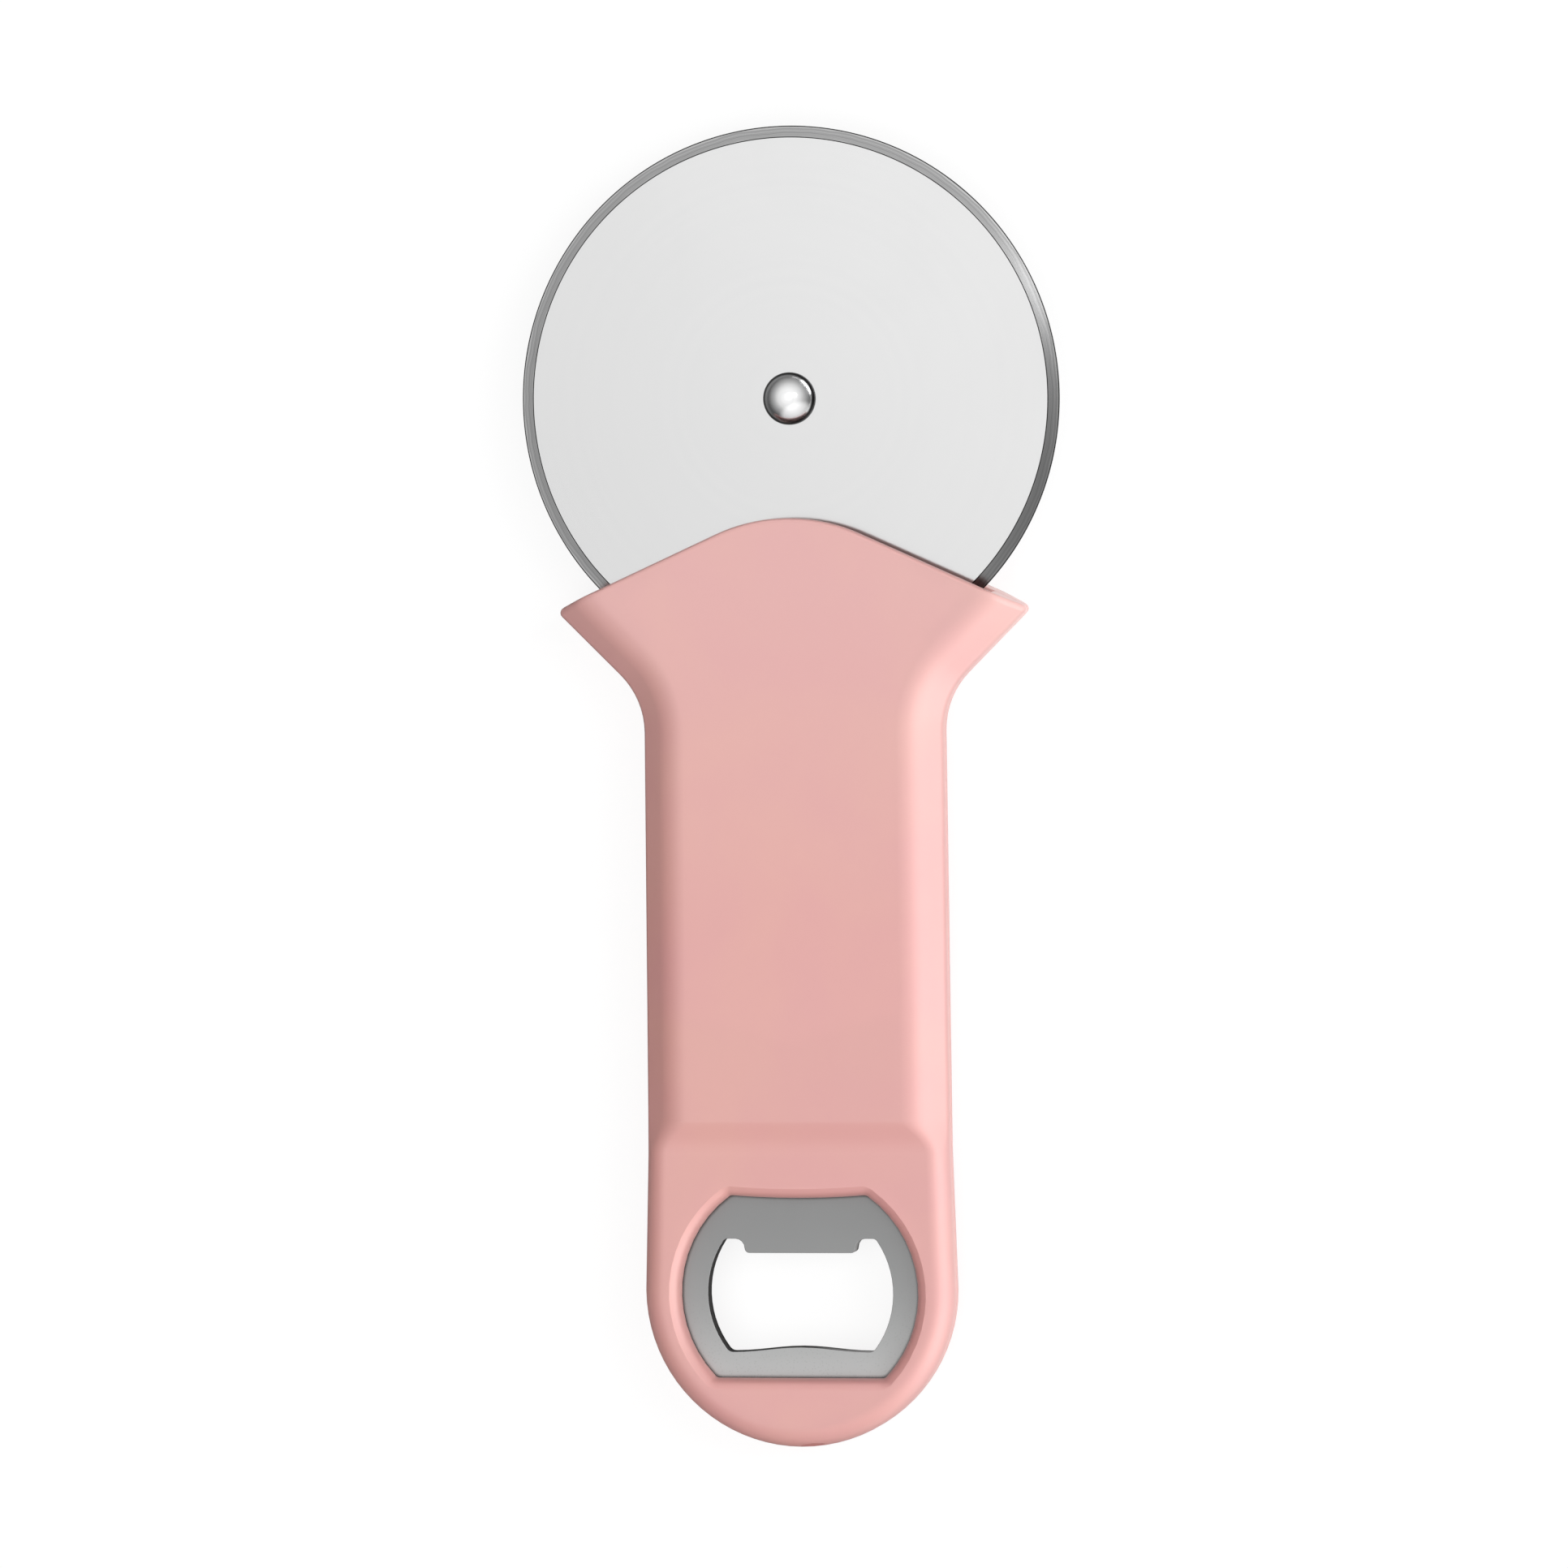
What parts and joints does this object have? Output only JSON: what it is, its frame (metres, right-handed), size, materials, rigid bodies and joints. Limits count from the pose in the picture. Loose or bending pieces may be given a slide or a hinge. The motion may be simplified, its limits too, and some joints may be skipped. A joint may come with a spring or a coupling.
{
  "type": "pizza cutter with bottle opener",
  "caption": "Flat moulded handle with a flared guard, a steel pizza wheel that turns on a riveted arm, and a bottle opener plate in its round end.",
  "frame": {"origin": "on the plane that the back of the handle rests on, under the middle of the whole length", "axes": "+X across the handle, +Y along it from the opener's end to the wheel, +Z out of the front face"},
  "size_m": [0.08, 0.1942, 0.012],
  "materials": {
    "pink_plastic": "moulded, satin",
    "blasted_steel": "bead blasted, matt",
    "steel_sheet": "mill finish",
    "rivet_steel": "polished",
    "washer_nylon": "natural nylon",
    "wheel_steel": "polished, ground edge"
  },
  "bodies": {
    "handle": {"front_shell": "pink_plastic", "back_shell": "pink_plastic", "opener_plate": "blasted_steel", "wheel_arm": "steel_sheet", "axle_sleeve": "rivet_steel", "axle_pin": "rivet_steel", "spacer_washer": "washer_nylon"},
    "wheel": {"cutting_wheel": "wheel_steel"}
  },
  "joints": [
    {"name": "wheel_spin", "type": "hinge", "parent": "handle", "child": "wheel", "pos_m": [0, 0.05715, 0.00705], "axis": [0, 0, 1], "continuous": true}
  ]
}
